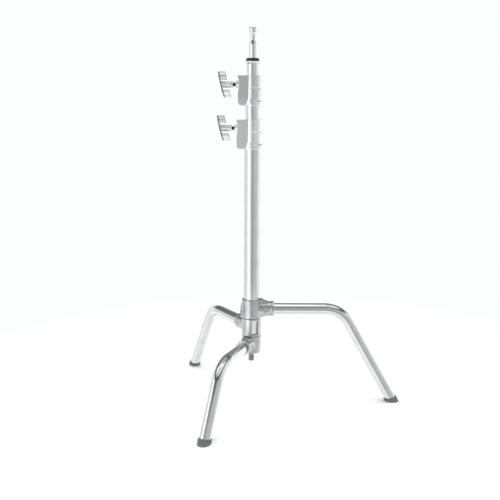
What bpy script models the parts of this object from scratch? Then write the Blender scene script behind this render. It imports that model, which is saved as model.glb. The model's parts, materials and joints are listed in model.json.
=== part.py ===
"""A compact C-stand for studio lights and flags: a turtle base with three bent legs at stepped
heights, a steel column, two telescoping risers with wing-knob clamps, and a 16 mm baby pin.

Everything is built around the column's axis, at its real size in metres, with the floor at z = 0
and the high leg along +X. One empty, "stand", carries all of it and is moved at the end, so that
the origin ends up at the middle of the footprint. The knobs of both clamps point along -X.
"""
import math

import bmesh
import bpy
from mathutils import Euler, Matrix, Vector

# ---------------------------------------------------------------- driving dimensions, in metres
GAP = 0.0003                  # between pieces that touch
SIDES = 32                    # facets round a turned piece
SMALL_SIDES = 20              # facets round a screw or a pin

COLUMN_R = 0.0175             # 35 mm column
RISER_1_R = 0.015             # 30 mm first riser
RISER_2_R = 0.0125            # 25 mm second riser
COLUMN_WALL = 0.0015
PIN_R = 0.008                 # 16 mm (5/8 inch) baby pin

LEG_R = 0.0125                # 25 mm legs
LEG_WALL = 0.002
LEG_SLOPE = math.radians(60.5)
LEG_BEND_R = 0.062            # centre line radius of each leg's bend
LEG_START = 0.026             # where a leg tube begins, from the column's axis
LEG_PIN_R = 0.003             # pins each leg tube in its socket
LEG_PIN_X = 0.038
LEGS = {                      # name: (direction in degrees, height of its axis, reach of its foot)
    "high_leg": (0.0, 0.220, 0.327),
    "mid_leg": (122.5, 0.180, 0.280),
    "low_leg": (-113.0, 0.1405, 0.2425),
}

HUB_R = 0.0215                # the castings' sleeves
HUBS = {                      # bottom and top of each casting's sleeve
    "high_leg": (0.2000, 0.2430),
    "mid_leg": (0.1590, 0.1995),
    "low_leg": (0.1180, 0.1585),
}
SOCKET_R = 0.0172             # the sockets that hold the leg tubes
SOCKET_END = 0.050
WEB_THICKNESS = 0.020         # of the web between sleeve and socket
POCKET_DEPTH = 0.002          # of the hollows in the sockets' sides
WINDOW_WIDTH = 0.015          # of the window in the middle casting's sleeve
WINDOW_DIRECTION = -10.0      # it opens opposite its leg, 10 degrees off

FOOT_R = 0.0142
FOOT_RIM_HEIGHT = 0.0100      # of the rim, where the leg's axis crosses it
FOOT_RIM_TILT = math.radians(16)
FOOT_SOLE = 0.004             # rubber under the tube's end

COLUMN_BOTTOM = 0.1360
COLUMN_TOP = 0.6080
PLUG_TOP = 0.1560             # of the plug in the column's foot
FLOOR_TOP = 0.1352            # of the low casting's floor, which the spring pushes up
FLOOR_BOTTOM = 0.1280
SPRING_WELL_R = 0.0100
BOLT_R = 0.004                # M8
BOLT_HEAD_R = 0.0065
BOLT_HEAD = (0.0975, 0.1052)  # its bottom and top
WASHER_THICKNESS = 0.0015
SPRING_WIRE_R = 0.0008
SPRING_COIL_R = 0.0055
SPRING_TURNS = 5.5
SET_SCREW_R = 0.003           # M6, holds the high casting on the column
SET_SCREW_HEIGHT = 0.2165
SET_SCREW_DIRECTION = -150.0
SET_SCREW_SOCKET_R = 0.0017   # its hexagon socket
SET_SCREW_SOCKET_DEPTH = 0.0025
LUG_END = 0.0268              # the lug on the high casting that the set screw goes through
LUG_WIDTH = 0.0130
LUG_FACE = (-0.0070, 0.0075)  # its outer face, from the screw's axis
LUG_SHOULDER = 0.0220         # where its top meets the sleeve, from the screw's axis

RISER_1_BOTTOM = PLUG_TOP + 0.0005
RISER_1_TOP = 0.7000
RISER_2_BOTTOM = 0.1910
RISER_2_TOP = 0.7565
GUIDE_DEPTH = 0.0028          # of the groove that a riser's guide sits in
GUIDE_HEIGHT = 0.008
PLUG_LIP = 0.003              # the plug's flange on each side of that groove
PLUG_STEM = 0.020             # and its length inside the riser
PLUG_WALL = 0.0035

COLLAR_HEIGHT = 0.0632
LOWER_COLLAR_TOP = 0.6403
UPPER_COLLAR_TOP = 0.7320
SCREW_R = 0.004               # M8 clamp screws
SCREW_DEPTH = 0.0182          # of the screw's axis, below the collar's top
PAD_R = 0.005
PAD_LENGTH = 0.006
SCREW_SHOWS = 0.0055          # bare screw between the collar's boss and the knob
SCREW_IN_KNOB = 0.016
COLLAR_WALL = 0.0031          # of a collar's sleeve, outside its tube
COLLAR_FLARE = 0.0024         # how much wider its foot is
COLLAR_GROOVES = (-0.0266, -0.0520)
GROOVE_DEPTH = 0.0007
BLOCK_REACH = 0.0160          # of the clamp block, outside the tube
BOSS_R = 0.0074
BOSS_LENGTH = 0.0052

KNOB_HUB_R = 0.0066
KNOB_HALF_SPAN = 0.0265
KNOB_LOBE_R = 0.0125
KNOB_WAIST = 0.0092
KNOB_WALL = 0.0028
KNOB_REACH = 0.027            # from the hub's inner end to the face, on the axis
KNOB_LEAN = 0.235             # the wing leans: its upper end stands further out
KNOB_CROWN = 1.9              # and its face is slightly domed, in 1/m
KNOB_DEPTH = 0.0165           # of the walls round each lobe

WAIST_GAP = (-0.0115, 0.0102)  # the side walls are open between these heights

FLANGE_R = 0.0160
FLANGE_TOP = 0.7617
RING_TOP = 0.7680
RING_R = 0.0138
PIN_TOP = 0.8310
PIN_CROWN_R = 0.0035          # rounding of the pin's tip
PIN_NECK_R = 0.0056           # where a receiver's screw grips
PIN_STEM = 0.035              # of the pin, inside the top riser


# ---------------------------------------------------------------- modelling helpers
def clear_scene():
    for obj in list(bpy.data.objects):
        bpy.data.objects.remove(obj, do_unlink=True)


def new_collection(name):
    collection = bpy.data.collections.new(name)
    bpy.context.scene.collection.children.link(collection)
    return collection


def new_material(name, colour, roughness, metallic):
    material = bpy.data.materials.new(name)
    material.use_nodes = True
    shader = material.node_tree.nodes["Principled BSDF"]
    shader.inputs["Base Color"].default_value = (*colour, 1.0)
    shader.inputs["Roughness"].default_value = roughness
    shader.inputs["Metallic"].default_value = metallic
    return material


def add_part(name, mesh, material, height=0.0, direction=0.0):
    """A named piece whose origin is on the column's axis, turned to face a direction."""
    mesh.shade_smooth()
    mesh.set_sharp_from_angle(angle=math.radians(35))
    mesh.materials.append(material)
    part = bpy.data.objects.new(name, mesh)
    part.parent = stand
    part.location = (0.0, 0.0, height)
    part.rotation_euler = (0.0, 0.0, math.radians(direction))
    parts.objects.link(part)
    return part


def combine(part, mesh, operation, name):
    """Cut a tool's mesh out of a piece, join it on, or keep what both share."""
    tool = bpy.data.objects.new(part.name + "_" + name, mesh)
    tool.parent = part
    tool.hide_render = True
    tool.display_type = "WIRE"
    cutters.objects.link(tool)
    modifier = part.modifiers.new(name, "BOOLEAN")
    modifier.operation = operation
    modifier.solver = "EXACT"
    modifier.object = tool
    return tool


def mesh_from(builder):
    """A mesh from a function that fills a bmesh."""
    bm = bmesh.new()
    builder(bm)
    bmesh.ops.recalc_face_normals(bm, faces=bm.faces)
    mesh = bpy.data.meshes.new("mesh")
    bm.to_mesh(mesh)
    bm.free()
    return mesh


def evaluated_mesh(obj):
    """The mesh that a curve or a modified object makes, welded, with the object itself removed."""
    bpy.context.scene.collection.objects.link(obj)
    bpy.context.view_layer.update()
    depsgraph = bpy.context.evaluated_depsgraph_get()
    mesh = bpy.data.meshes.new_from_object(obj.evaluated_get(depsgraph))
    mesh.transform(obj.matrix_world)
    bpy.data.objects.remove(obj, do_unlink=True)
    bm = bmesh.new()
    bm.from_mesh(mesh)
    bmesh.ops.remove_doubles(bm, verts=bm.verts, dist=0.000001)
    bmesh.ops.recalc_face_normals(bm, faces=bm.faces)
    bm.to_mesh(mesh)
    bm.free()
    return mesh


def turned(profile, sides=SIDES):
    """A solid of revolution about Z. The profile, (radius, z), runs down the outer side; it comes
    back up the bore, or ends on the axis."""
    mesh = bpy.data.meshes.new("profile")
    edges = [(i, i + 1) for i in range(len(profile) - 1)]
    if all(radius > 0.0 for radius, z in profile):
        edges.append((len(profile) - 1, 0))
    mesh.from_pydata([(radius, 0.0, z) for radius, z in profile], edges, [])
    obj = bpy.data.objects.new("turned", mesh)
    screw = obj.modifiers.new("turn", "SCREW")
    screw.steps = sides
    screw.render_steps = sides
    screw.use_merge_vertices = True
    screw.merge_threshold = 0.00001
    return evaluated_mesh(obj)


def ring(outer, inner, bottom, top, sides=SIDES):
    return turned([(outer, top), (outer, bottom), (inner, bottom), (inner, top)], sides)


def rod(start, end, radius, sides=SMALL_SIDES):
    """A cylinder between two points."""
    start, end = Vector(start), Vector(end)
    along = end - start
    turn = along.to_track_quat("Z", "Y").to_matrix().to_4x4()
    place = Matrix.Translation((start + end) / 2) @ turn

    def build(bm):
        bmesh.ops.create_cone(bm, cap_ends=True, segments=sides, radius1=radius, radius2=radius,
                              depth=along.length, matrix=place)
    return mesh_from(build)


def block(low, high):
    """A box between two corners."""
    low, high = Vector(low), Vector(high)
    place = Matrix.Translation((low + high) / 2) @ Matrix.Diagonal((*(high - low), 1.0))

    def build(bm):
        bmesh.ops.create_cube(bm, size=1.0, matrix=place)
    return mesh_from(build)


def prism(outline, depth, plane="XZ"):
    """A flat outline in the XZ or the YZ plane, extruded by depth about that plane."""
    curve = bpy.data.curves.new("outline", "CURVE")
    curve.dimensions = "2D"
    curve.fill_mode = "BOTH"
    curve.extrude = depth / 2
    spline = curve.splines.new("POLY")
    spline.points.add(len(outline) - 1)
    for point, (u, v) in zip(spline.points, outline):
        point.co = (u, v, 0.0, 1.0)
    spline.use_cyclic_u = True
    obj = bpy.data.objects.new("prism", curve)
    spin = 0.0 if plane == "XZ" else math.pi / 2
    obj.rotation_euler = Euler((math.pi / 2, 0.0, spin))
    return evaluated_mesh(obj)


def wire(points, radius, resolution, caps):
    """A round wire or tube along a list of points."""
    curve = bpy.data.curves.new("path", "CURVE")
    curve.dimensions = "3D"
    curve.bevel_depth = radius
    curve.bevel_resolution = resolution
    curve.use_fill_caps = caps
    spline = curve.splines.new("POLY")
    spline.points.add(len(points) - 1)
    for point, place in zip(spline.points, points):
        point.co = (*place, 1.0)
    return bpy.data.objects.new("wire", curve)


def arc(centre, radius, start, end, steps):
    """Points along an arc in a plane, between two angles in degrees."""
    angles = [math.radians(start + (end - start) * i / steps) for i in range(steps + 1)]
    return [(centre[0] + radius * math.cos(a), centre[1] + radius * math.sin(a)) for a in angles]


def slice_off(mesh, point, normal):
    """Remove what lies beyond a plane, on its normal's side, and close the cut."""
    bm = bmesh.new()
    bm.from_mesh(mesh)
    geometry = bm.verts[:] + bm.edges[:] + bm.faces[:]
    cut = bmesh.ops.bisect_plane(bm, geom=geometry, plane_co=point, plane_no=normal,
                                 clear_outer=True)
    edges = [item for item in cut["geom_cut"] if isinstance(item, bmesh.types.BMEdge)]
    bmesh.ops.holes_fill(bm, edges=edges)
    bmesh.ops.recalc_face_normals(bm, faces=bm.faces)
    bm.to_mesh(mesh)
    bm.free()
    return mesh


# ---------------------------------------------------------------- the base
def leg_path(height, reach, start):
    """A leg's centre line: level out of its socket, round the bend, and down to the floor."""
    tangent = LEG_BEND_R * math.tan(LEG_SLOPE / 2)
    corner = reach - height / math.tan(LEG_SLOPE)
    centre = (corner - tangent, height - LEG_BEND_R)
    bend = arc(centre, LEG_BEND_R, 90.0, 90.0 - math.degrees(LEG_SLOPE), 8)
    foot = (reach + 0.01 / math.tan(LEG_SLOPE), -0.01)
    return [(x, 0.0, z) for x, z in [(start, height)] + bend + [foot]]


def leg_pin_ends(height):
    """The pin that holds a leg tube stands under its socket, near the socket's end."""
    bottom = height - SOCKET_R + 0.0012
    top = height - LEG_R + LEG_WALL + 0.0025
    return (LEG_PIN_X, 0.0, bottom), (LEG_PIN_X, 0.0, top)


def make_leg_tube(name, direction, height, reach):
    """A bent steel tube, cut level with the floor just inside its rubber foot."""
    tube = wire(leg_path(height, reach, LEG_START), LEG_R, 10, caps=True)
    outside = slice_off(evaluated_mesh(tube), (0, 0, FOOT_SOLE + GAP), (0, 0, -1))
    part = add_part(name + "_tube", outside, chrome, direction=direction)
    hollow = wire(leg_path(height, reach, LEG_START - 0.002), LEG_R - LEG_WALL, 6, caps=True)
    combine(part, evaluated_mesh(hollow), "DIFFERENCE", "hollow")
    low, high = leg_pin_ends(height)
    combine(part, rod(low, high, LEG_PIN_R + GAP), "DIFFERENCE", "pin_hole")


def make_leg_pin(name, direction, height):
    low, high = leg_pin_ends(height)
    add_part(name + "_pin", rod(low, high, LEG_PIN_R), steel, direction=direction)


def make_foot(name, direction, height, reach):
    """A rubber boot on the leg's end, with a flat sole and a rim that rises to the outside."""
    down = Vector((math.cos(LEG_SLOPE), 0.0, -math.sin(LEG_SLOPE)))
    sole = Vector((reach, 0.0, 0.0))
    rim = sole - down * (FOOT_RIM_HEIGHT / math.sin(LEG_SLOPE))
    tilt = (-math.sin(FOOT_RIM_TILT), 0.0, math.cos(FOOT_RIM_TILT))
    boot = rod(sole - 0.05 * down, sole + 0.03 * down, FOOT_R, 28)
    slice_off(boot, (0, 0, 0), (0, 0, -1))
    slice_off(boot, rim, tilt)
    part = add_part(name + "_foot", boot, rubber, direction=direction)
    bore = rod(sole - 0.06 * down, sole + 0.03 * down, LEG_R + GAP, 28)
    slice_off(bore, (0, 0, FOOT_SOLE), (0, 0, -1))
    combine(part, bore, "DIFFERENCE", "bore")


def make_casting(name, direction, height):
    """A leg casting: a sleeve round the column, a socket for the leg, and a web between them."""
    bottom, top = (level - height for level in HUBS[name])
    chamfer = 0.0012
    sleeve = turned([(0.0, top), (HUB_R - chamfer, top), (HUB_R, top - chamfer),
                     (HUB_R, bottom + chamfer), (HUB_R - chamfer, bottom), (0.0, bottom)])
    part = add_part(name + "_casting", sleeve, cast, height=height, direction=direction)
    socket = rod((0.008, 0, 0), (SOCKET_END, 0, 0), SOCKET_R, 28)
    combine(part, socket, "UNION", "socket")
    web_top = top - 0.0006
    web = [(0.010, -SOCKET_R + 0.004), (0.036, -SOCKET_R + 0.004), (0.036, SOCKET_R - 0.001),
           (0.030, SOCKET_R + 0.0012), (0.0225, web_top), (0.010, web_top)]
    combine(part, prism(web, WEB_THICKNESS), "UNION", "web")
    combine(part, rod((LEG_START - 0.0006, 0, 0), (SOCKET_END + 0.01, 0, 0), LEG_R + GAP, 28),
            "DIFFERENCE", "leg_bore")
    pin_hole = rod((LEG_PIN_X, 0, -SOCKET_R - 0.01), (LEG_PIN_X, 0, -LEG_R + 0.002),
                   LEG_PIN_R + GAP)
    combine(part, pin_hole, "DIFFERENCE", "pin_hole")
    for side in (-1, 1):
        pocket = prism([(0.0285, -0.0085), (0.0285, 0.0060), (0.0400, -0.0015)],
                       2 * POCKET_DEPTH)
        pocket.transform(Matrix.Translation((0, side * (SOCKET_R - 0.0008), 0)))
        combine(part, pocket, "DIFFERENCE", "pocket_" + ("left" if side < 0 else "right"))
    return part


def bore(part, radius, low, high, name):
    """A round hole along a casting's own axis, between two heights above the floor."""
    height = part.location.z
    combine(part, rod((0, 0, low - height), (0, 0, high - height), radius, SIDES), "DIFFERENCE",
            name)


def make_castings():
    """The three leg castings. The high one is fixed to the column by a screw, the other two turn
    on it, and the low one closes the stack with a floor for the spring."""
    high = make_casting("high_leg", *LEGS["high_leg"][:2])
    mid = make_casting("mid_leg", *LEGS["mid_leg"][:2])
    low = make_casting("low_leg", *LEGS["low_leg"][:2])

    to_screw = (Matrix.Translation((0, 0, SET_SCREW_HEIGHT - LEGS["high_leg"][1]))
                @ Matrix.Rotation(math.radians(SET_SCREW_DIRECTION), 4, "Z"))
    face_bottom, face_top = LUG_FACE
    lug = prism([(COLUMN_R + 0.001, face_bottom), (LUG_END, face_bottom), (LUG_END, face_top),
                 (HUB_R, LUG_SHOULDER), (COLUMN_R + 0.001, LUG_SHOULDER)], LUG_WIDTH)
    lug.transform(to_screw)
    combine(high, lug, "UNION", "lug")
    hole = rod((0.014, 0, 0), (LUG_END + 0.01, 0, 0), SET_SCREW_R + GAP)
    hole.transform(to_screw)
    combine(high, hole, "DIFFERENCE", "screw_hole")
    screw_end = LUG_END - 0.0008
    screw = add_part("column_screw", rod((COLUMN_R + GAP, 0, 0), (screw_end, 0, 0), SET_SCREW_R),
                     steel, SET_SCREW_HEIGHT, SET_SCREW_DIRECTION)
    socket = rod((screw_end - SET_SCREW_SOCKET_DEPTH, 0, 0), (screw_end + 0.01, 0, 0),
                 SET_SCREW_SOCKET_R, 6)
    combine(screw, socket, "DIFFERENCE", "socket")

    bottom, top = (level - LEGS["mid_leg"][1] for level in HUBS["mid_leg"])
    window = block((-HUB_R - 0.01, -WINDOW_WIDTH / 2, bottom + 0.004),
                   (-0.012, WINDOW_WIDTH / 2, top - 0.0035))
    window.transform(Matrix.Rotation(math.radians(WINDOW_DIRECTION), 4, "Z"))
    combine(mid, window, "DIFFERENCE", "window")

    over = 0.01
    for part, name in ((high, "high_leg"), (mid, "mid_leg")):
        bottom, top = HUBS[name]
        bore(part, COLUMN_R + GAP, bottom - over, top + over, "column_bore")
    bottom, top = HUBS["low_leg"]
    bore(low, COLUMN_R + GAP, FLOOR_TOP, top + over, "column_bore")
    bore(low, SPRING_WELL_R, bottom - over, FLOOR_BOTTOM, "spring_well")
    bore(low, BOLT_R + 2 * GAP, bottom, top, "bolt_hole")


def make_base_hardware():
    """The sprung bolt under the hub, which holds the leg stack up and lets it be pulled down."""
    inside = COLUMN_R - COLUMN_WALL - GAP
    add_part("base_plug", ring(inside, BOLT_R + GAP, COLUMN_BOTTOM, PLUG_TOP), cast)
    head_bottom, head_top = BOLT_HEAD
    head = rod((0, 0, head_bottom), (0, 0, head_top), BOLT_HEAD_R, 6)
    bolt = add_part("base_bolt", head, black_steel)
    shank = rod((0, 0, head_top - 0.001), (0, 0, PLUG_TOP - 0.001), BOLT_R)
    combine(bolt, shank, "UNION", "shank")

    spring_edge = SPRING_COIL_R + SPRING_WIRE_R
    seat_bottom = head_top + GAP
    seat_top = seat_bottom + WASHER_THICKNESS
    seat = ring(spring_edge + 0.0007, BOLT_R + GAP, seat_bottom, seat_top)
    add_part("spring_seat", seat, steel)
    washer_top = FLOOR_BOTTOM - GAP
    washer_bottom = washer_top - WASHER_THICKNESS
    washer = ring(SPRING_WELL_R - 0.0013, BOLT_R + 2 * GAP, washer_bottom, washer_top)
    add_part("thrust_washer", washer, steel)

    per_turn = 12
    low = seat_top + GAP + SPRING_WIRE_R
    high = washer_bottom - GAP - SPRING_WIRE_R
    count = int(SPRING_TURNS * per_turn)
    points = []
    for i in range(count + 1):
        angle = 2 * math.pi * i / per_turn
        z = low + (high - low) * i / count
        points.append((SPRING_COIL_R * math.cos(angle), SPRING_COIL_R * math.sin(angle), z))
    spring = evaluated_mesh(wire(points, SPRING_WIRE_R, 1, caps=True))
    add_part("base_spring", spring, steel)


# ---------------------------------------------------------------- the column and the risers
def make_tube(name, radius, bottom, top):
    add_part(name, ring(radius, radius - COLUMN_WALL, bottom, top), chrome)


def make_riser_end(name, radius, outer_bore, bottom):
    """The plug in a riser's foot, and the split nylon guide that runs in the tube outside it."""
    inside = radius - COLUMN_WALL - GAP
    neck = radius - GUIDE_DEPTH
    rim = radius - 0.0004
    groove_bottom = bottom + PLUG_LIP
    groove_top = groove_bottom + GUIDE_HEIGHT
    shoulder = groove_top + PLUG_LIP
    top = shoulder + PLUG_STEM
    bore = inside - PLUG_WALL
    plug = turned([(inside, top), (inside, shoulder), (radius, shoulder), (radius, groove_top),
                   (neck, groove_top), (neck, groove_bottom), (rim, groove_bottom),
                   (rim, bottom), (bore, bottom), (bore, top)])
    add_part(name + "_plug", plug, plastic)
    split_ring = ring(outer_bore - GAP, neck + GAP, groove_bottom + GAP, groove_top - GAP)
    guide = add_part(name + "_guide", split_ring, plastic)
    slit = block((0.004, -0.001, bottom - 0.01), (0.03, 0.001, top + 0.01))
    combine(guide, slit, "DIFFERENCE", "slit")
    return shoulder + GAP


def make_column():
    make_tube("column_tube", COLUMN_R, COLUMN_BOTTOM, COLUMN_TOP)
    start = make_riser_end("riser_1", RISER_1_R, COLUMN_R - COLUMN_WALL, RISER_1_BOTTOM)
    make_tube("riser_1_tube", RISER_1_R, start, RISER_1_TOP)
    start = make_riser_end("riser_2", RISER_2_R, RISER_1_R - COLUMN_WALL, RISER_2_BOTTOM)
    make_tube("riser_2_tube", RISER_2_R, start, RISER_2_TOP)


def make_top():
    """The flange that closes the top riser, its rubber bumper, and the baby pin."""
    base = RISER_2_TOP + GAP
    bore = PIN_R + GAP
    bevel = 0.0012
    flange = turned([(FLANGE_R - 0.0002, FLANGE_TOP), (FLANGE_R, FLANGE_TOP - bevel),
                     (RISER_2_R + GAP, base), (bore, base), (bore, FLANGE_TOP)])
    add_part("top_flange", flange, chrome)
    low, middle = FLANGE_TOP + GAP, (FLANGE_TOP + RING_TOP) / 2
    bumper = turned([(RING_R - bevel, RING_TOP), (RING_R, RING_TOP - bevel),
                     (RING_R + 0.0002, middle), (RING_R, low + bevel), (RING_R - bevel, low),
                     (bore, low), (bore, RING_TOP)])
    add_part("bumper_ring", bumper, rubber)
    stem_r = RISER_2_R - COLUMN_WALL - GAP
    stem_top = RISER_2_TOP - GAP
    stem_bottom = RISER_2_TOP - PIN_STEM
    crown = arc((PIN_R - PIN_CROWN_R, PIN_TOP - PIN_CROWN_R), PIN_CROWN_R, 90.0, 0.0, 3)
    head_bottom, neck_top, neck_bottom, cone_bottom = (
        PIN_TOP - depth for depth in (0.0110, 0.0140, 0.0265, 0.0345))
    profile = [(0.0, PIN_TOP)] + crown + [
        (PIN_R, head_bottom), (PIN_NECK_R + 0.0006, (head_bottom + neck_top) / 2),
        (PIN_NECK_R, neck_top), (PIN_NECK_R, neck_bottom), (PIN_R, cone_bottom),
        (PIN_R, stem_top), (stem_r, stem_top), (stem_r, stem_bottom), (0.0, stem_bottom)]
    add_part("baby_pin", turned(profile), chrome)


# ---------------------------------------------------------------- the riser clamps
def make_clamp(name, outer_r, inner_r, top, tube_top):
    """A collar on the end of one tube, with the pad, screw and knob that grip the next one. It is
    built facing +X from the column's axis and then turned to face -X."""
    facing = 180.0
    axis = top - SCREW_DEPTH
    sleeve_r = outer_r + COLLAR_WALL
    face = outer_r + BLOCK_REACH
    boss_end = face + BOSS_LENGTH
    knob_start = boss_end + SCREW_SHOWS
    make_collar(name, outer_r, inner_r, top, tube_top, sleeve_r, face, boss_end)
    pad_start = inner_r + GAP
    pad = rod((pad_start, 0, 0), (pad_start + PAD_LENGTH, 0, 0), PAD_R)
    add_part(name + "_brake_pad", pad, plastic, height=axis, direction=facing)
    screw_start = pad_start + PAD_LENGTH + GAP
    screw = rod((screw_start, 0, 0), (knob_start + SCREW_IN_KNOB, 0, 0), SCREW_R)
    add_part(name + "_clamp_screw", screw, black_steel, height=axis, direction=facing)
    make_knob(name, axis, facing, knob_start)


def make_collar(name, outer_r, inner_r, top, tube_top, sleeve_r, face, boss_end):
    """The cast collar: a stepped sleeve, a clamp block on its knob side and a boss for the screw."""
    bottom = -COLLAR_HEIGHT
    flare = sleeve_r + COLLAR_FLARE
    grooves = []
    for level in COLLAR_GROOVES:
        grooves += [(sleeve_r, level + 0.0009), (sleeve_r - GROOVE_DEPTH, level),
                    (sleeve_r, level - 0.0009)]
    sleeve = turned([(0.0, 0.0), (sleeve_r - 0.0008, 0.0), (sleeve_r, -0.0008)] + grooves
                    + [(sleeve_r + 0.0004, bottom + 0.009), (flare, bottom + 0.0040),
                       (flare, bottom + 0.0008), (flare - 0.0008, bottom), (0.0, bottom)])
    part = add_part(name + "_collar", sleeve, cast, height=top, direction=180.0)
    heel = arc((face - 0.0055, bottom + 0.0070), 0.0055, 0.0, -90.0, 5)
    outline = [(0.004, -0.0003), (face, -0.0003), (face + 0.0006, -0.0010),
               (face + 0.0006, -0.0050), (face - 0.0012, -0.0062), (face - 0.0012, -0.0270),
               (face, -0.0300), (face + 0.0004, -0.0430)] + heel + [(0.004, bottom + 0.0015)]
    combine(part, prism(outline, 2 * (sleeve_r - 0.0017)), "UNION", "clamp_block")
    boss = rod((face - 0.008, 0, -SCREW_DEPTH), (boss_end, 0, -SCREW_DEPTH), BOSS_R)
    combine(part, boss, "UNION", "boss")
    seat = tube_top - top + GAP
    combine(part, turned([(0.0, 0.01), (inner_r + 0.0004, 0.01), (inner_r + 0.0004, seat),
                          (outer_r + GAP, seat), (outer_r + GAP, bottom - 0.01),
                          (0.0, bottom - 0.01)]), "DIFFERENCE", "bore")
    pad_end = inner_r + GAP + PAD_LENGTH + 0.0032
    combine(part, rod((0.005, 0, -SCREW_DEPTH), (pad_end, 0, -SCREW_DEPTH), PAD_R + GAP),
            "DIFFERENCE", "pad_bore")
    combine(part, rod((0.010, 0, -SCREW_DEPTH), (boss_end + 0.01, 0, -SCREW_DEPTH),
                      SCREW_R + GAP), "DIFFERENCE", "screw_hole")


def wing_outline(inset):
    """The knob seen along its axis: two round lobes and a narrower waist, in the YZ plane."""
    lobe = KNOB_HALF_SPAN - KNOB_LOBE_R
    radius = KNOB_LOBE_R - inset
    waist = KNOB_WAIST - inset
    upper = arc((0.0, lobe), radius, -35.0, 215.0, 14)
    lower = arc((0.0, -lobe), radius, 145.0, 395.0, 14)
    return upper + [(-waist, 0.0)] + lower + [(waist, 0.0)]


def wing_face(height, start):
    """How far the knob's face stands out, at a height above the screw's axis."""
    return start + KNOB_REACH + KNOB_LEAN * height - KNOB_CROWN * height * height


def wing_side(start, thickness, depth, low, high):
    """The knob seen from its side, between two heights: a domed face and its back edge."""
    steps = 14
    heights = [low + (high - low) * i / steps for i in range(steps + 1)]
    front = [(wing_face(h, start) - thickness, h) for h in heights]
    return front + [(wing_face(h, start) - depth, h) for h in (high, low)]


def make_knob(name, axis, facing, start):
    """A hollow-cast wing knob: a leaning domed face, a wall round each lobe, and a hub."""
    span = KNOB_HALF_SPAN + 0.004
    outer = prism(wing_outline(0.0), 0.20, plane="YZ")
    part = add_part(name + "_knob", outer, chrome, height=axis, direction=facing)
    combine(part, prism(wing_side(start, 0.0, KNOB_DEPTH, -span, span), 0.06), "INTERSECT",
            "side_shape")
    hollow = prism(wing_outline(KNOB_WALL), 0.20, plane="YZ")
    core = combine(part, hollow, "DIFFERENCE", "hollow")
    combine(core, prism(wing_side(start, KNOB_WALL, 0.05, -span, span), 0.06), "INTERSECT",
            "side_shape")
    combine(part, prism(wing_side(start, KNOB_WALL, 0.05, *WAIST_GAP), 0.06), "DIFFERENCE",
            "waist_gap")
    hub = rod((start, 0, 0), (start + KNOB_REACH - 0.001, 0, 0), KNOB_HUB_R)
    combine(part, hub, "UNION", "hub")
    hole_end = start + SCREW_IN_KNOB + 0.0005
    combine(part, rod((start - 0.01, 0, 0), (hole_end, 0, 0), SCREW_R + GAP), "DIFFERENCE",
            "screw_hole")


# ---------------------------------------------------------------- the whole stand
def centre_on_origin():
    """Move the stand so that the middle of its footprint is on the origin."""
    bpy.context.view_layer.update()
    depsgraph = bpy.context.evaluated_depsgraph_get()
    xs, ys = [], []
    for part in parts.objects:
        if part.type != "MESH":
            continue
        shown = part.evaluated_get(depsgraph)
        corners = [shown.matrix_world @ vertex.co for vertex in shown.data.vertices]
        xs += [corner.x for corner in corners]
        ys += [corner.y for corner in corners]
    stand.location = (-(min(xs) + max(xs)) / 2, -(min(ys) + max(ys)) / 2, 0.0)


clear_scene()
parts = new_collection("c_stand")
cutters = new_collection("cutters")
stand = bpy.data.objects.new("stand", None)
parts.objects.link(stand)

chrome = new_material("chrome", (0.80, 0.81, 0.82), 0.10, 1.0)
cast = new_material("cast_aluminium", (0.62, 0.63, 0.64), 0.38, 1.0)
steel = new_material("zinc_steel", (0.55, 0.55, 0.56), 0.35, 1.0)
black_steel = new_material("black_steel", (0.05, 0.05, 0.05), 0.45, 0.6)
rubber = new_material("rubber", (0.06, 0.06, 0.06), 0.75, 0.0)
plastic = new_material("nylon", (0.04, 0.04, 0.04), 0.55, 0.0)

for leg_name, (leg_direction, leg_height, leg_reach) in LEGS.items():
    make_leg_tube(leg_name, leg_direction, leg_height, leg_reach)
    make_leg_pin(leg_name, leg_direction, leg_height)
    make_foot(leg_name, leg_direction, leg_height, leg_reach)
make_castings()
make_base_hardware()
make_column()
make_top()
make_clamp("lower", COLUMN_R, RISER_1_R, LOWER_COLLAR_TOP, COLUMN_TOP)
make_clamp("upper", RISER_1_R, RISER_2_R, UPPER_COLLAR_TOP, RISER_1_TOP)
centre_on_origin()
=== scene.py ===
"""The looks of the compact C-stand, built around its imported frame.

Every visible CAD node gets a finer piece in the same place: turned parts with rounded edges, swept
legs, castings melted from simple solids and then bored, real screw threads, and materials that show
chrome plate, satin castings, zinc, black oxide, rubber and nylon. The nylon pieces inside the tubes
stay as the frame has them. All lengths are in metres, in the frame's own coordinates.
"""

import json
import math

import bmesh
import bpy
from mathutils import Matrix, Vector

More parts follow.
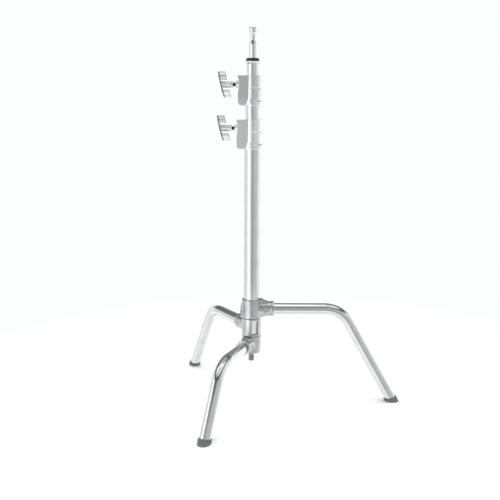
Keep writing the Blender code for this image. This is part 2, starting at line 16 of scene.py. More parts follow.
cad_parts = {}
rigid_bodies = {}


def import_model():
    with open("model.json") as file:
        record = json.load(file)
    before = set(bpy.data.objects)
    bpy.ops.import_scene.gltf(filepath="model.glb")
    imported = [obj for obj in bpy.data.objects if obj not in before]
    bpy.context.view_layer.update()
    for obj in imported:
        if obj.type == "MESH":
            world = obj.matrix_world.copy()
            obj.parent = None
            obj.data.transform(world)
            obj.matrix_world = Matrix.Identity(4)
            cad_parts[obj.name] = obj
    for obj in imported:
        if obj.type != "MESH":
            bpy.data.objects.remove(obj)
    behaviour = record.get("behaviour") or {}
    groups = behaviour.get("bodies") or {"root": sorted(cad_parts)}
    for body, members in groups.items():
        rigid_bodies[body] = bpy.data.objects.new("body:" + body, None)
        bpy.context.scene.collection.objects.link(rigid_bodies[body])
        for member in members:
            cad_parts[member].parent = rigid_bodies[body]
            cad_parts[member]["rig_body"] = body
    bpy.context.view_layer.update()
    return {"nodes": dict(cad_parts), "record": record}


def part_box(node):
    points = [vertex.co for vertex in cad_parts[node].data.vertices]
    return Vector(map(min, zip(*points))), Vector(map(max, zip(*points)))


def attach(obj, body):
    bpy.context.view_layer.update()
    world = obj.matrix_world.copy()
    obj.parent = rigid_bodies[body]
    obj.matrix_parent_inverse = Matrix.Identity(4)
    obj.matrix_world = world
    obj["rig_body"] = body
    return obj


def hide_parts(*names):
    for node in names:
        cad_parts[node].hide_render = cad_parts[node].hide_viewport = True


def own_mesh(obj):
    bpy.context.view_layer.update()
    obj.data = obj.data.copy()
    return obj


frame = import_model()

# ---------------------------------------------------------------- the frame's facts
GAP = 0.0003                                  # what the CAD leaves between pieces
NODE_BODY = {node: obj["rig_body"] for node, obj in frame["nodes"].items()}
MOUNTS = {mount["name"]: Vector(mount["pos_m"]) for mount in frame["record"]["mounts"]}


def low(node):
    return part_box(node)[0]


def high(node):
    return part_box(node)[1]


def middle(node):
    return (low(node) + high(node)) / 2


def radius_of(node):
    """Of a turned node that stands upright: half its width."""
    return (high(node).x - low(node).x) / 2


AXIS = middle("column_tube").xy.to_3d()       # the column's axis, on the floor
COLUMN_R = radius_of("column_tube")
RISER_1_R = radius_of("riser_1_tube")
RISER_2_R = radius_of("riser_2_tube")
TUBE_WALL = 0.0015

LEG_R = 0.0125
LEG_WALL = 0.002
LEG_SLOPE = math.radians(60.5)
LEG_BEND_R = 0.062
LEG_START = 0.026                             # from the column's axis
HUB_R = 0.0215
SOCKET_R = 0.0172
SOCKET_END = 0.050
LEG_PIN_X = SOCKET_END - 0.012
LEG_PIN_R = 0.003
FOOT_R = 0.0142
FOOT_SOLE = 0.004
FOOT_RIM_HEIGHT = 0.0100
FOOT_RIM_TILT = math.radians(16)
LOW_FLOOR = (0.1280, 0.1352)                  # of the low casting, which the spring pushes up
SPRING_WELL_R = 0.0100
LEGS = ("high_leg", "mid_leg", "low_leg")

LUG_END = 0.0268                              # the lug that the column's set screw goes through
LUG_WIDTH = 0.0130
SET_SCREW_R = 0.003

SCREW_R = 0.004
THREAD_PITCH = 0.00125                        # of the M8 screws and the base bolt

FINE = 96                                     # sides round a turned piece
SMALL = 48                                    # sides round a screw
CUT_OVER = 0.004                              # how far a cutter runs past the face it cuts


# ---------------------------------------------------------------- meshes
def new_mesh(points, faces):
    mesh = bpy.data.meshes.new("mesh")
    mesh.from_pydata([tuple(point) for point in points], [], faces)
    mesh.validate()
    return mesh


def rounded(corners, steps=5):
    """A closed outline, as (u, v) points, whose corners, (u, v, radius), are rounded by arcs."""
    points = []
    count = len(corners)
    for i, (u, v, radius) in enumerate(corners):
        here = Vector((u, v))
        before = Vector(corners[i - 1][:2]) - here
        after = Vector(corners[(i + 1) % count][:2]) - here
        if radius <= 0.0 or before.length < 1e-9 or after.length < 1e-9:
            points.append(here)
            continue
        half = before.angle(after) / 2
        if half > math.radians(89):
            points.append(here)
            continue
        reach = min(radius / math.tan(half), before.length / 2.01, after.length / 2.01)
        radius = reach * math.tan(half)
        bisector = (before.normalized() + after.normalized()).normalized()
        centre = here + bisector * (radius / math.sin(half))
        start = here + before.normalized() * reach - centre
        end = here + after.normalized() * reach - centre
        sweep = math.atan2(start.x * end.y - start.y * end.x, start.dot(end))
        for step in range(steps + 1):
            turn = Matrix.Rotation(sweep * step / steps, 2)
            points.append(centre + turn @ start)
    return [tuple(point) for point in points]


def lathe(outline, sides=FINE):
    """A solid turned about Z from a closed outline of (radius, z) points, or from an open one that
    starts and ends on the axis."""
    outline = [(max(radius, 0.0), z) for radius, z in outline]
    closed = all(radius > 1e-9 for radius, z in outline)
    points, rings = [], []
    for radius, z in outline:
        count = sides if radius > 1e-9 else 1
        rings.append(range(len(points), len(points) + count))
        for i in range(count):
            angle = 2 * math.pi * i / sides
            points.append((radius * math.cos(angle), radius * math.sin(angle), z))
    pairs = list(zip(rings, rings[1:]))
    if closed:
        pairs.append((rings[-1], rings[0]))
    faces = []
    for first, second in pairs:
        for i in range(sides):
            j = (i + 1) % sides
            face = [first[i % len(first)], second[i % len(second)],
                    second[j % len(second)], first[j % len(first)]]
            kept = list(dict.fromkeys(face))
            if len(kept) > 2:
                faces.append(kept)
    return outward(new_mesh(points, faces))


def outward(mesh):
    bm = bmesh.new()
    bm.from_mesh(mesh)
    bmesh.ops.recalc_face_normals(bm, faces=bm.faces)
    bm.to_mesh(mesh)
    bm.free()
    return mesh


def turned(corners, sides=FINE, steps=5):
    """A lathe piece from corners with their radii."""
    return lathe(rounded(corners, steps), sides)


def rod(radius, bottom, top, edge=0.0, sides=FINE):
    """A solid round rod along Z with rounded edges."""
    return turned([(0.0, top, 0), (radius, top, edge), (radius, bottom, edge), (0.0, bottom, 0)], sides)


def pipe(radius, bore, bottom, top, edge, bore_edge, sides=FINE, steps=5):
    """A round piece along Z with a bore right through it."""
    return turned([(radius, top, edge), (radius, bottom, edge), (bore, bottom, bore_edge),
                   (bore, top, bore_edge)], sides, steps)


def blind_bore(radius, end, mouth, edge, sides=FINE):
    """A cutter for a bore along Z from its closed end to its chamfered mouth, and a little beyond."""
    over = math.copysign(CUT_OVER, mouth - end)
    return turned([(0.0, end, 0), (radius, end, 0), (radius, mouth - math.copysign(edge, over), 0),
                   (radius + edge + CUT_OVER, mouth + over, 0), (0.0, mouth + over, 0)], sides)


def through_bore(radius, bottom, top, edge=0.0005):
    """A cutter for a bore along Z with small chamfers at both mouths."""
    wide = radius + edge + CUT_OVER
    return turned([(0.0, top + CUT_OVER, 0), (wide, top + CUT_OVER, 0), (radius, top - edge, 0),
                   (radius, bottom + edge, 0), (wide, bottom - CUT_OVER, 0),
                   (0.0, bottom - CUT_OVER, 0)], 128)


def placed(mesh, matrix):
    mesh.transform(matrix)
    return mesh


def along_x(mesh):
    """Lay a mesh that was turned about Z along +X."""
    return placed(mesh, Matrix.Rotation(math.radians(90), 4, "Y"))


def prism(outline, depth, plane="XZ"):
    """An outline in the XZ or YZ plane, extruded by depth about that plane."""
    def point(u, v, w):
        return (u, w, v) if plane == "XZ" else (w, u, v)
    count = len(outline)
    points = [point(u, v, side * depth / 2) for side in (-1, 1) for u, v in outline]
    faces = [[i, (i + 1) % count, count + (i + 1) % count, count + i] for i in range(count)]
    faces += [list(range(count)), list(range(count, 2 * count))]
    return outward(new_mesh(points, faces))


def arc(centre, radius, start, end, steps):
    """Points along an arc, between two angles in degrees."""
    angles = [math.radians(start + (end - start) * i / steps) for i in range(steps + 1)]
    return [(centre[0] + radius * math.cos(a), centre[1] + radius * math.sin(a)) for a in angles]


def swept(path, normals, section):
    """A closed rod along a path in the XZ plane. Its radius comes from section, by the point's
    number along the path and the angle round it."""
    points, faces = [], []
    sides = FINE
    side = Vector((0.0, 1.0, 0.0))
    for i, (place, normal) in enumerate(zip(path, normals)):
        for j in range(sides):
            angle = 2 * math.pi * j / sides
            radius = section(i, angle)
            points.append(place + radius * (math.cos(angle) * normal + math.sin(angle) * side))
    for i in range(len(path) - 1):
        for j in range(sides):
            k = (j + 1) % sides
            faces.append([i * sides + j, (i + 1) * sides + j, (i + 1) * sides + k, i * sides + k])
    faces.append(list(range(sides)))
    faces.append(list(range(len(points) - sides, len(points))))
    return outward(new_mesh(points, faces))


def threaded(radius, start, end, pitch=THREAD_PITCH, bevel=0.0008):
    """A threaded rod along Z, with a runout at both ends."""
    depth = 0.6 * pitch
    per_turn, sides = 8, 36
    count = int((end - start) / pitch * per_turn)
    points, faces = [], []
    for i in range(count + 1):
        z = start + (end - start) * i / count
        ends = min((z - start) / bevel, (end - z) / bevel, 1.0)
        for j in range(sides):
            angle = 2 * math.pi * j / sides
            phase = ((z / pitch) - j / sides) % 1.0
            groove = max(0.0, 1.0 - abs(phase - 0.5) * 2.6)
            r = radius - depth * max(groove, 1.0 - ends)
            points.append((r * math.cos(angle), r * math.sin(angle), z))
    for i in range(count):
        for j in range(sides):
            k = (j + 1) % sides
            faces.append([i * sides + j, i * sides + k, (i + 1) * sides + k, (i + 1) * sides + j])
    faces.append(list(range(sides))[::-1])
    faces.append(list(range(count * sides, (count + 1) * sides)))
    return outward(new_mesh(points, faces))


def hexagon(across, low_z, high_z, chamfer):
    """A hexagon bar along Z whose corners are turned off at both ends, as on a bolt's head."""
    corner = across / math.sqrt(3)
    flat = across / 2
    bar = lathe([(0.0, high_z), (corner, high_z), (corner, low_z), (0.0, low_z)], 6)
    face, rim = flat - 0.0002, corner + 0.0005
    dome = turned([(0.0, high_z, 0), (face, high_z, 0.0003), (rim, high_z - chamfer, 0),
                   (rim, low_z + chamfer, 0), (face, low_z, 0.0003), (0.0, low_z, 0)])
    return boolean(bar, [dome], "INTERSECT")


def joined(meshes):
    bm = bmesh.new()
    for mesh in meshes:
        bm.from_mesh(mesh)
    mesh = bpy.data.meshes.new("joined")
    bm.to_mesh(mesh)
    bm.free()
    return mesh


def modified(mesh, add_modifiers, tools=()):
    """The mesh that a stack of modifiers makes of another."""
    obj = bpy.data.objects.new("work", mesh)
    helpers = [bpy.data.objects.new("tool", tool) for tool in tools]
    for item in [obj, *helpers]:
        bpy.context.scene.collection.objects.link(item)
    add_modifiers(obj, helpers)
    bpy.context.view_layer.update()
    depsgraph = bpy.context.evaluated_depsgraph_get()
    result = bpy.data.meshes.new_from_object(obj.evaluated_get(depsgraph))
    for item in [obj, *helpers]:
        bpy.data.objects.remove(item, do_unlink=True)
    return result


def boolean(mesh, tools, operation="DIFFERENCE"):
    def add(obj, helpers):
        for helper in helpers:
            modifier = obj.modifiers.new("boolean", "BOOLEAN")
            modifier.operation = operation
            modifier.solver = "MANIFOLD"
            modifier.object = helper
    return modified(mesh, add, tools)


def melted(mesh, voxel, softness, keep=0.5):
    """Overlapping closed meshes made one skin with soft edges, as a casting leaves its mould."""
    def add(obj, helpers):
        melt = obj.modifiers.new("melt", "REMESH")
        melt.mode = "VOXEL"
        melt.voxel_size = voxel
        melt.use_smooth_shade = True
        soften = obj.modifiers.new("soften", "SMOOTH")
        soften.factor = 0.5
        soften.iterations = softness
        if keep < 1.0:
            thin = obj.modifiers.new("thin", "DECIMATE")
            thin.ratio = keep
    return modified(mesh, add)


# ---------------------------------------------------------------- materials
def math_node(tree, operation, *values):
    """A math node whose inputs are numbers or the outputs of other nodes."""
    node = tree.nodes.new("ShaderNodeMath")
    node.operation = operation
    for socket, value in zip(node.inputs, values):
        if isinstance(value, float):
            socket.default_value = value
        else:
            tree.links.new(value, socket)
    return node.outputs["Value"]


class Graph:
    """A small helper for a material's nodes."""

    def __init__(self, name, colour, metallic, roughness):
        self.material = bpy.data.materials.new(name)
        self.material.use_nodes = True
        self.nodes = self.material.node_tree.nodes
        self.links = self.material.node_tree.links
        self.shader = self.nodes["Principled BSDF"]
        self.shader.inputs["Base Color"].default_value = (*colour, 1.0)
        self.shader.inputs["Metallic"].default_value = metallic
        self.shader.inputs["Roughness"].default_value = roughness
        self.place = self.nodes.new("ShaderNodeTexCoord").outputs["Object"]

    def link(self, output, target):
        self.links.new(output, target)

    def noise(self, scale, stretch=(1.0, 1.0, 1.0), detail=3.0, roughness=0.55):
        """Noise with features of about 1 / scale metres, squeezed along each axis by stretch."""
        mapping = self.nodes.new("ShaderNodeMapping")
        mapping.inputs["Scale"].default_value = stretch
        self.link(self.place, mapping.inputs["Vector"])
        texture = self.nodes.new("ShaderNodeTexNoise")
        texture.inputs["Scale"].default_value = scale
        texture.inputs["Detail"].default_value = detail
        texture.inputs["Roughness"].default_value = roughness
        self.link(mapping.outputs["Vector"], texture.inputs["Vector"])
        return texture.outputs["Fac"]

    def remap(self, value, from_low, from_high, to_low, to_high):
        node = self.nodes.new("ShaderNodeMapRange")
        node.inputs["From Min"].default_value = from_low
        node.inputs["From Max"].default_value = from_high
        node.inputs["To Min"].default_value = to_low
        node.inputs["To Max"].default_value = to_high
        self.link(value, node.inputs["Value"])
        return node.outputs["Result"]

    def math(self, operation, first, second):
        return math_node(self.material.node_tree, operation, first, second)

    def mix(self, share, first, second):
        """A colour between two colours."""
        node = self.nodes.new("ShaderNodeMix")
        node.data_type = "RGBA"
        self.link(share, node.inputs["Factor"])
        colours = [socket for socket in node.inputs if socket.type == "RGBA"]
        for socket, value in zip(colours, (first, second)):
            if isinstance(value, tuple):
                socket.default_value = (*value, 1.0)
            else:
                self.link(value, socket)
        return next(socket for socket in node.outputs if socket.type == "RGBA")

    def edges(self, low_value, high_value):
        """1 on convex edges, from the mesh's pointiness."""
        geometry = self.nodes.new("ShaderNodeNewGeometry")
        return self.remap(geometry.outputs["Pointiness"], low_value, high_value, 0.0, 1.0)

    def coordinate(self, axis):
        """A place in the frame, in metres, at rest: Z is the height above the floor."""
        split = self.nodes.new("ShaderNodeSeparateXYZ")
        self.link(self.place, split.inputs["Vector"])
        return split.outputs[axis]

    def bump(self, height, strength, distance, before=None):
        node = self.nodes.new("ShaderNodeBump")
        node.inputs["Strength"].default_value = strength
        node.inputs["Distance"].default_value = distance
        self.link(height, node.inputs["Height"])
        if before is not None:
            self.link(before, node.inputs["Normal"])
        return node.outputs["Normal"]

    def use(self, output, socket):
        self.link(output, self.shader.inputs[socket])


def chrome_tube():
    """Bright plated tube: a mirror with faint haze, hairlines along it and a few smudges."""
    graph = Graph("chrome_tube", (0.80, 0.81, 0.82), 1.0, 0.07)
    smudge = graph.noise(38.0, detail=4.0)
    hairline = graph.noise(900.0, stretch=(1.0, 1.0, 0.03), detail=2.0)
    haze = graph.remap(smudge, 0.45, 0.75, 0.05, 0.13)
    fine = graph.remap(hairline, 0.55, 0.80, 0.0, 0.06)
    graph.use(graph.math("ADD", haze, fine), "Roughness")
    tone = graph.mix(graph.remap(smudge, 0.4, 0.8, 0.0, 1.0), (0.80, 0.81, 0.82), (0.72, 0.73, 0.74))
    graph.use(tone, "Base Color")
    ripple = graph.bump(graph.noise(70.0, detail=1.0), 0.05, 0.001)
    graph.use(graph.bump(hairline, 0.03, 0.0002, ripple), "Normal")
    return graph.material


def chrome_cast():
    """Plated die casting: softer and wavier than the tubes, with painted shade that darkens the upper
    clamp, and satin on the knobs, which have painted shade on their edges and a dark band round the
    face."""
    graph = Graph("chrome_cast", (0.80, 0.81, 0.82), 1.0, 0.24)
    haze = graph.noise(60.0, detail=4.0)
    knob = graph.remap(graph.coordinate("X"), AXIS.x - 0.048, AXIS.x - 0.044, 1.0, 0.0)
    plain = graph.remap(haze, 0.35, 0.75, 0.20, 0.34)
    graph.use(graph.math("ADD", plain, graph.math("MULTIPLY", knob, 0.16)), "Roughness")
    # Painted shade: above about 0.67 m, on the upper clamp, the plate gets darker tones than on the
    # lower clamp.
    upper_clamp_painted_shade = graph.remap(graph.coordinate("Z"), 0.665, 0.690, 0.0, 1.0)
    clean = graph.mix(upper_clamp_painted_shade, (0.97, 0.98, 0.99), (0.80, 0.81, 0.82))
    hazy = graph.mix(upper_clamp_painted_shade, (0.86, 0.87, 0.88), (0.70, 0.71, 0.72))
    collar = graph.mix(graph.remap(haze, 0.4, 0.8, 0.0, 1.0), clean, hazy)
    # Painted shade: the knobs' convex edges are painted grey.
    painted_edge_shade_and_base_grey = graph.mix(graph.edges(0.505, 0.56), (0.97, 0.98, 0.98), (0.50, 0.50, 0.51))
    rim = graph.nodes.new("ShaderNodeAttribute")
    rim.attribute_name = "rim"
    banded = graph.mix(rim.outputs["Fac"], painted_edge_shade_and_base_grey, (0.20, 0.20, 0.21))
    graph.use(graph.mix(knob, collar, banded), "Base Color")
    orange_peel = graph.bump(graph.noise(420.0, detail=2.0), 0.08, 0.0003)
    graph.use(graph.bump(graph.noise(55.0, detail=1.0), 0.10, 0.001, orange_peel), "Normal")
    return graph.material


def cast_aluminium():
    """Satin castings: fine grain, cloudy tone and polished edges."""
    graph = Graph("cast_aluminium", (0.62, 0.63, 0.64), 1.0, 0.30)
    cloud = graph.noise(45.0, detail=5.0)
    grain = graph.noise(1400.0, detail=3.0, roughness=0.7)
    worn = graph.edges(0.51, 0.58)
    dull = graph.mix(graph.remap(cloud, 0.35, 0.7, 0.0, 1.0), (0.64, 0.65, 0.66), (0.52, 0.53, 0.54))
    graph.use(graph.mix(worn, dull, (0.78, 0.79, 0.80)), "Base Color")
    satin = graph.remap(cloud, 0.3, 0.7, 0.24, 0.38)
    graph.use(graph.math("SUBTRACT", satin, graph.math("MULTIPLY", worn, 0.10)), "Roughness")
    pits = graph.bump(grain, 0.16, 0.0003)
    graph.use(graph.bump(graph.noise(120.0, detail=2.0), 0.10, 0.0008, pits), "Normal")
    return graph.material


def zinc_steel():
    """Zinc plate: spangled grey with brighter corners."""
    graph = Graph("zinc_steel", (0.55, 0.55, 0.56), 1.0, 0.34)
    spangle = graph.noise(260.0, detail=2.0)
    worn = graph.edges(0.52, 0.60)
    dull = graph.mix(graph.remap(spangle, 0.35, 0.65, 0.0, 1.0), (0.47, 0.47, 0.49), (0.60, 0.60, 0.61))
    graph.use(graph.mix(worn, dull, (0.74, 0.74, 0.74)), "Base Color")
    graph.use(graph.remap(spangle, 0.3, 0.7, 0.26, 0.42), "Roughness")
    graph.use(graph.bump(graph.noise(1600.0, detail=2.0), 0.08, 0.0002), "Normal")
    return graph.material


def black_steel():
    """Black oxide, with bare steel on the crests of the threads, and grey towards the floor."""
    graph = Graph("black_steel", (0.035, 0.035, 0.038), 0.7, 0.42)
    oil = graph.noise(150.0, detail=3.0)
    worn = graph.edges(0.54, 0.66)
    blackened = graph.mix(worn, (0.035, 0.035, 0.038), (0.16, 0.16, 0.17))
    oiled = graph.remap(oil, 0.35, 0.65, 0.0, 1.0)
    painted_edge_shade_and_base_grey = graph.mix(oiled, (0.27, 0.27, 0.28), (0.38, 0.38, 0.39))
    # Grey below about 0.15 m, fading to black by 0.25 m; only the base bolt sits that low.
    near_floor = graph.remap(graph.coordinate("Z"), 0.15, 0.25, 1.0, 0.0)
    graph.use(graph.mix(near_floor, blackened, painted_edge_shade_and_base_grey), "Base Color")
    graph.use(graph.remap(oil, 0.3, 0.7, 0.30, 0.52), "Roughness")
    graph.use(graph.bump(graph.noise(1200.0, detail=2.0), 0.10, 0.0002), "Normal")
    return graph.material


def rubber(name, colour, dust):
    """Moulded rubber: matt, finely pebbled, greyer with dust towards the floor and on its edges."""
    graph = Graph(name, colour, 0.0, 0.62)
    cloud = graph.noise(110.0, detail=4.0)
    near_floor = graph.remap(graph.coordinate("Z"), 0.0, 0.012, 1.0, 0.0)
    share = graph.math("MULTIPLY", graph.remap(cloud, 0.35, 0.75, 0.0, 1.0), near_floor)
    scuffed = graph.math("MAXIMUM", share, graph.edges(0.54, 0.66))
    graph.use(graph.mix(scuffed, colour, dust), "Base Color")
    graph.use(graph.remap(cloud, 0.3, 0.7, 0.50, 0.75), "Roughness")
    pebbles = graph.bump(graph.noise(1500.0, detail=2.0), 0.25, 0.0003)
    graph.use(graph.bump(graph.noise(160.0, detail=2.0), 0.10, 0.0006, pebbles), "Normal")
    return graph.material


def nylon():
    """Black nylon, moulded."""
    graph = Graph("nylon", (0.04, 0.04, 0.04), 0.0, 0.5)
    cloud = graph.noise(200.0, detail=3.0)
    graph.use(graph.remap(cloud, 0.3, 0.7, 0.42, 0.60), "Roughness")
    tone = graph.remap(cloud, 0.3, 0.8, 0.0, 1.0)
    graph.use(graph.mix(tone, (0.035, 0.035, 0.036), (0.07, 0.07, 0.07)), "Base Color")
    graph.use(graph.bump(graph.noise(1800.0, detail=2.0), 0.12, 0.0002), "Normal")
    return graph.material


MATERIALS = {
    "chrome_tube": chrome_tube(),
    "chrome_cast": chrome_cast(),
    "cast_aluminium": cast_aluminium(),
    "zinc_steel": zinc_steel(),
    "black_steel": black_steel(),
    "foot_rubber": rubber("foot_rubber", (0.135, 0.14, 0.14), (0.24, 0.24, 0.23)),
    "bumper_rubber": rubber("bumper_rubber", (0.018, 0.018, 0.018), (0.05, 0.05, 0.05)),
    "nylon": nylon(),
}
SLOTS = {part["node"]: part["material_slot"] for part in frame["record"]["subparts"]}


def add_even_normals(obj):
    """Shading that follows the large faces, so that slivers beside a cut don't show."""
    modifier = obj.modifiers.new("even", "WEIGHTED_NORMAL")
    modifier.keep_sharp = True
    modifier.weight = 80


def add_piece(node, mesh, matrix=None, crease=40, even=False):
    """The fine piece that stands for a CAD node, on the same body and with the same finish."""
    if matrix is not None:
        mesh.transform(matrix)
    mesh.shade_smooth()
    mesh.set_sharp_from_angle(angle=math.radians(crease))
    if even:
        mesh = modified(mesh, lambda obj, helpers: add_even_normals(obj))
    mesh.materials.clear()
    mesh.materials.append(MATERIALS[SLOTS[node]])
    piece = bpy.data.objects.new(node + "_fine", mesh)
    bpy.context.scene.collection.objects.link(piece)
    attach(piece, NODE_BODY[node])
    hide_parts(node)
    return piece


def upright(height=0.0, direction=0.0):
    """A place on the column's axis, turned to face a direction in radians."""
    return Matrix.Translation(AXIS + Vector((0, 0, height))) @ Matrix.Rotation(direction, 4, "Z")


# ---------------------------------------------------------------- column, risers and top
def make_tubes():
    for node in ("column_tube", "riser_1_tube", "riser_2_tube"):
        radius, edge = radius_of(node), 0.0004
        mesh = pipe(radius, radius - TUBE_WALL, low(node).z, high(node).z, edge, edge, 128, 3)
        add_piece(node, mesh, upright())


def make_top():
    flange_low, flange_high = low("top_flange").z, high("top_flange").z
    rim = radius_of("top_flange")
    bore = 0.0083
    add_piece("top_flange", turned([
        (rim, flange_high, 0.0006), (rim, flange_high - 0.0016, 0.0006), (0.0131, flange_low, 0.0005),
        (bore, flange_low, 0.0002), (bore, flange_high, 0.0003)]), upright())
    ring_low, ring_high = low("bumper_ring").z, high("bumper_ring").z
    rim = radius_of("bumper_ring")
    add_piece("bumper_ring", turned([
        (rim, ring_high, 0.0022), (rim, ring_low, 0.0022), (bore, ring_low, 0.0003),
        (bore, ring_high, 0.0010)]), upright())
    tip, pin, neck = high("baby_pin").z, 0.008, 0.0056
    stem, foot, step = radius_of("baby_pin"), low("baby_pin").z, low("top_flange").z - 2 * GAP
    add_piece("baby_pin", turned([
        (0.0, tip, 0), (pin, tip, 0.0035), (pin, tip - 0.0110, 0.0008), (neck, tip - 0.0140, 0.0012),
        (neck, tip - 0.0262, 0.0040), (pin, tip - 0.0346, 0.0040), (pin, step, 0.0003),
        (stem, step, 0.0003), (stem, foot, 0.0010), (0.0, foot, 0)], steps=6), upright())


# ---------------------------------------------------------------- legs
def leg_facts(leg):
    """A leg's direction in radians, the height of its axis and the reach of its foot."""
    sole = MOUNTS[leg.replace("_leg", "_foot") + "_sole"] - AXIS
    return math.atan2(sole.y, sole.x), high(leg + "_tube").z - LEG_R, sole.xy.length


def leg_line(height, reach, start):
    """Points along a leg's centre line and the outward normals there."""
    tangent = LEG_BEND_R * math.tan(LEG_SLOPE / 2)
    corner = reach - height / math.tan(LEG_SLOPE)
    centre = (corner - tangent, height - LEG_BEND_R)
    slope = math.degrees(LEG_SLOPE)
    steps = 40
    bend = arc(centre, LEG_BEND_R, 90.0, 90.0 - slope, steps)
    end = 0.012
    foot = (reach + end / math.tan(LEG_SLOPE), -end)
    line = [(start, height)] + bend + [foot]
    turns = [0.0] + [slope * i / steps for i in range(steps + 1)] + [slope]
    points = [Vector((x, 0.0, z)) for x, z in line]
    normals = [Vector((math.sin(math.radians(t)), 0.0, math.cos(math.radians(t)))) for t in turns]
    return points, normals, steps


def leg_skin(height, reach, start, radius):
    """One wall of a leg tube. The bend is a little flattened, as a bent tube is."""
    points, normals, steps = leg_line(height, reach, start)
    flattening = 0.025

    def section(i, angle):
        share = math.sin(math.pi * min(max((i - 1) / steps, 0.0), 1.0))
        return radius * (1.0 - flattening * share * math.cos(angle) ** 2)
    return swept(points, normals, section)


def below_floor_cutter(level):
    size = 0.2
    return prism([(0.0, level), (0.5, level), (0.5, level - size), (0.0, level - size)], size)


def make_leg_tubes():
    for leg in LEGS:
        direction, height, reach = leg_facts(leg)
        outside = leg_skin(height, reach, LEG_START, LEG_R)
        inside = leg_skin(height, reach, LEG_START - 0.002, LEG_R - LEG_WALL)
        pin_hole = placed(rod(LEG_PIN_R + GAP, -0.01, 0.01, sides=SMALL),
                          Matrix.Translation((LEG_PIN_X, 0, height - LEG_R)))
        cutters = [inside, below_floor_cutter(FOOT_SOLE + GAP), pin_hole]
        add_piece(leg + "_tube", boolean(outside, cutters), upright(0.0, direction))
        pin = rod(LEG_PIN_R, low(leg + "_pin").z, high(leg + "_pin").z, 0.0006, SMALL)
        add_piece(leg + "_pin", pin, upright(0.0, direction) @ Matrix.Translation((LEG_PIN_X, 0, 0)))


def make_feet():
    """Rubber boots: a soft rim and a flat sole."""
    for leg in LEGS:
        direction, height, reach = leg_facts(leg)
        down = Vector((math.cos(LEG_SLOPE), 0.0, -math.sin(LEG_SLOPE)))
        along = Matrix.Translation((reach, 0, 0)) @ (-down).to_track_quat("Z", "Y").to_matrix().to_4x4()
        boot = placed(rod(FOOT_R, -0.04, 0.05), along)
        rim = FOOT_RIM_HEIGHT
        rise = math.tan(FOOT_RIM_TILT)
        side = [(reach - 0.05, 0.0), (reach + 0.05, 0.0),
                (reach + 0.05, rim + rise * (0.05 + rim / math.tan(LEG_SLOPE))),
                (reach - 0.05, rim + rise * (-0.05 + rim / math.tan(LEG_SLOPE)))]
        shape = boolean(boot, [prism(side, 0.06)], "INTERSECT")
        voxel = 0.0004
        shape = melted(shape, voxel, 5, keep=0.5)
        bore = placed(rod(LEG_R + GAP, -0.04, 0.06), along)
        bore = boolean(bore, [below_floor_cutter(FOOT_SOLE)])
        add_piece(leg + "_foot", boolean(shape, [bore]), upright(0.0, direction))


# ---------------------------------------------------------------- leg castings
def casting_levels(leg, height):
    """Bottom and top of a casting's sleeve, from its leg's axis. The sleeves stand face to face."""
    stack_gap = 0.0005
    above = {"mid_leg": "high_leg", "low_leg": "mid_leg"}
    top = low(above[leg] + "_casting").z - stack_gap if leg in above else high(leg + "_casting").z
    return low(leg + "_casting").z - height, top - height


def casting_solids(bottom, top):
    """A sleeve round the column, a socket with a rolled lip, and a web over and under it."""
    lip = 0.0007
    socket = along_x(turned([
        (0.0, 0.006, 0), (SOCKET_R - lip, 0.006, 0), (SOCKET_R - lip, SOCKET_END - 0.0065, 0.002),
        (SOCKET_R, SOCKET_END - 0.0050, 0.002), (SOCKET_R, SOCKET_END, 0.0012),
        (0.0, SOCKET_END, 0)]))
    web_top = top - 0.0006
    over = [(0.010, -SOCKET_R + 0.004), (0.036, -SOCKET_R + 0.004), (0.036, SOCKET_R - 0.001),
            (0.030, SOCKET_R + 0.0010), (0.0225, web_top), (0.010, web_top)]
    under = [(0.010, bottom + 0.0008), (HUB_R + 0.0006, bottom + 0.0008), (0.034, -SOCKET_R + 0.0006),
             (0.034, 0.0), (0.010, 0.0)]
    return [rod(HUB_R, bottom, top, 0.0016), socket, prism(over, 0.019), prism(under, 0.010)]


def pocket_cutters():
    """Cutters for the triangular pockets in both sides of a casting's web."""
    outline = rounded([(0.0285, -0.0085, 0.0010), (0.0285, 0.0060, 0.0012),
                       (0.0400, -0.0015, 0.0012)], 4)
    depth, reach = 0.004, SOCKET_R - 0.0008
    return [placed(prism(outline, depth), Matrix.Translation((0, side * reach, 0))) for side in (-1, 1)]


def make_castings():
    voxel = 0.0005
    for leg in LEGS:
        direction, height, reach = leg_facts(leg)
        bottom, top = casting_levels(leg, height)
        solids = casting_solids(bottom, top)
        if leg == "high_leg":
            solids.append(screw_lug(height))
        rough = melted(joined(solids), voxel, 1, keep=1.0)
        cuts = pocket_cutters()
        if leg == "mid_leg":
            window = prism([(-HUB_R - 0.01, bottom + 0.004), (-0.012, bottom + 0.004),
                            (-0.012, top - 0.0035), (-HUB_R - 0.01, top - 0.0035)], 0.015)
            cuts.append(placed(window, Matrix.Rotation(math.radians(-10), 4, "Z")))
        shape = melted(boolean(rough, cuts), voxel, 6, keep=0.45)
        leg_bore = along_x(blind_bore(LEG_R + GAP, LEG_START - 0.0006, SOCKET_END, 0.0005))
        pin_hole = placed(rod(LEG_PIN_R + GAP, -0.008, 0.012, sides=SMALL),
                          Matrix.Translation((LEG_PIN_X, 0, -SOCKET_R)))
        bores = [leg_bore, pin_hole]
        if leg == "low_leg":
            bores += [blind_bore(COLUMN_R + GAP, LOW_FLOOR[1] - height, top, 0.0005, 128),
                      blind_bore(SPRING_WELL_R, LOW_FLOOR[0] - height, bottom, 0.0005),
                      rod(SCREW_R + 2 * GAP, bottom, 0.0, sides=SMALL)]
        else:
            bores.append(through_bore(COLUMN_R + GAP, bottom, top))
        if leg == "high_leg":
            bores.append(set_screw_hole(height))
        add_piece(leg + "_casting", boolean(shape, bores), upright(height, direction))


